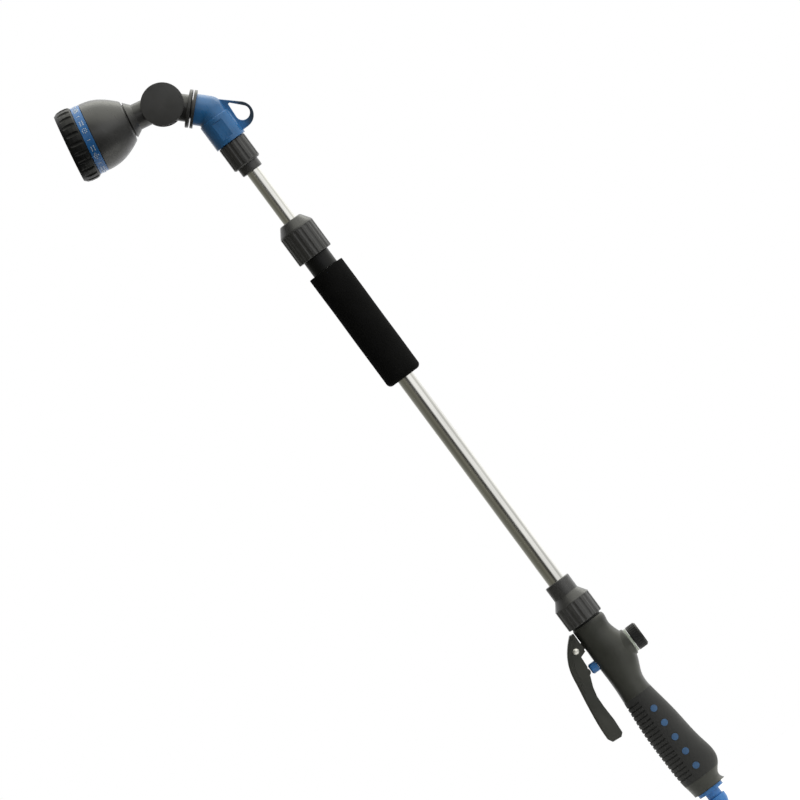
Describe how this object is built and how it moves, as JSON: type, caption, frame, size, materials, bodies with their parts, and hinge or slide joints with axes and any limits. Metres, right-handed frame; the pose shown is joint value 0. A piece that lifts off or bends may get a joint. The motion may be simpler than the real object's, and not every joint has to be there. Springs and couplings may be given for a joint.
{
  "type": "watering wand",
  "caption": "Telescopic watering wand with a trigger handle, flow knob, foam grip, hang loop, swivel neck, tilting spray head and turning spray dial.",
  "frame": {"origin": "on the tube's axis, in the middle of the hose inlet's latch land", "axes": "+Z along the tube from the hose inlet towards the spray head, head and trigger on the -X side, flow knob and hang loop on the +X side"},
  "size_m": [0.1525, 0.0652, 0.8165],
  "materials": {
    "housing_grey": "satin moulded",
    "blue_plastic": "satin moulded",
    "black_plastic": "matte moulded",
    "inner_plastic": "plain moulded",
    "stainless": "drawn and polished",
    "steel": "machined",
    "rubber_black": "matte",
    "rubber_blue": "matte",
    "foam_black": "closed-cell foam"
  },
  "bodies": {
    "handle": {"handle_shell_left": "housing_grey", "handle_shell_right": "housing_grey", "shell_screws": "steel", "grip_pad_left": "rubber_black", "grip_pad_right": "rubber_black", "grip_dots": "rubber_blue", "water_body": "black_plastic", "inlet_nipple": "blue_plastic", "nipple_o_ring": "rubber_black", "inlet_gasket": "rubber_black", "inlet_filter": "inner_plastic", "valve_seat": "steel", "spindle_gland": "inner_plastic", "knob_collar": "inner_plastic", "trigger_pin": "steel", "union_nut": "housing_grey", "tube_seal": "rubber_black", "outer_tube": "stainless", "foam_grip": "foam_black", "lock_body": "black_plastic", "lock_seal": "rubber_black", "lock_collet": "inner_plastic"},
    "trigger": {"trigger_lever": "housing_grey"},
    "valve": {"plunger_cap": "blue_plastic", "valve_stem": "steel", "stem_o_ring": "rubber_black", "poppet_seal": "rubber_black", "valve_spring": "steel"},
    "knob": {"flow_knob": "black_plastic", "flow_spindle": "inner_plastic", "spindle_o_ring": "rubber_black"},
    "lock_ring": {"lock_nut": "housing_grey"},
    "slider": {"tube_piston": "inner_plastic", "piston_o_rings": "rubber_black"},
    "wand": {"inner_tube": "stainless", "end_nut": "housing_grey", "elbow_seal": "rubber_black", "elbow": "blue_plastic", "swivel_collar": "housing_grey", "neck_clip": "steel"},
    "neck_part": {"neck": "housing_grey", "neck_o_ring": "rubber_black"},
    "head": {"head_yoke": "housing_grey", "pivot_cap_left": "housing_grey", "pivot_cap_right": "housing_grey", "pivot_spindle": "inner_plastic", "pivot_o_rings": "rubber_black", "pivot_screw": "steel", "bell_housing": "housing_grey", "diverter_plate": "inner_plastic", "diverter_seal": "rubber_black", "detent_spring": "steel", "detent_ball": "steel"},
    "dial": {"pattern_band": "blue_plastic", "selector_bezel": "black_plastic", "dial_body": "inner_plastic", "face_plate": "black_plastic", "face_insert": "blue_plastic", "face_screw": "steel"}
  },
  "joints": [
    {"name": "trigger_pull", "type": "hinge", "parent": "handle", "child": "trigger", "pos_m": [-0.0223, 0, 0.1725], "axis": [0, -1, 0], "range_deg": [0, 8], "stiffness_Nm_per_rad": 2, "springref_deg": -5.73},
    {"name": "valve_slide", "type": "slide", "parent": "handle", "child": "valve", "axis": [1, 0, 0], "range_m": [0, 0.0029], "deforming": ["valve_spring"]},
    {"name": "flow_turn", "type": "hinge", "parent": "handle", "child": "knob", "pos_m": [0.0274, 0, 0.1522], "axis": [1, 0, 0], "range_deg": [0, 270]},
    {"name": "lock_turn", "type": "hinge", "parent": "handle", "child": "lock_ring", "pos_m": [0, 0, 0.592], "axis": [0, 0, 1], "range_deg": [0, 120]},
    {"name": "tube_slide", "type": "slide", "parent": "handle", "child": "slider", "axis": [0, 0, 1], "range_m": [-0.05, 0.25]},
    {"name": "tube_turn", "type": "hinge", "parent": "slider", "child": "wand", "pos_m": [0, 0, 0.4], "axis": [0, 0, 1], "continuous": true},
    {"name": "neck_swivel", "type": "hinge", "parent": "wand", "child": "neck_part", "pos_m": [0, 0, 0.7266], "axis": [-0.7071, 0, 0.7071], "continuous": true},
    {"name": "head_tilt", "type": "hinge", "parent": "neck_part", "child": "head", "pos_m": [-0.02828, 0, 0.75488], "axis": [0, -1, 0], "range_deg": [-119, 51]},
    {"name": "dial_turn", "type": "hinge", "parent": "head", "child": "dial", "pos_m": [-0.10191, 0, 0.76919], "axis": [-0.9816, 0, 0.1908], "continuous": true}
  ],
  "couplings": [
    {"joint": "valve_slide", "follows": "trigger_pull", "m_per_rad": 0.0203}
  ]
}
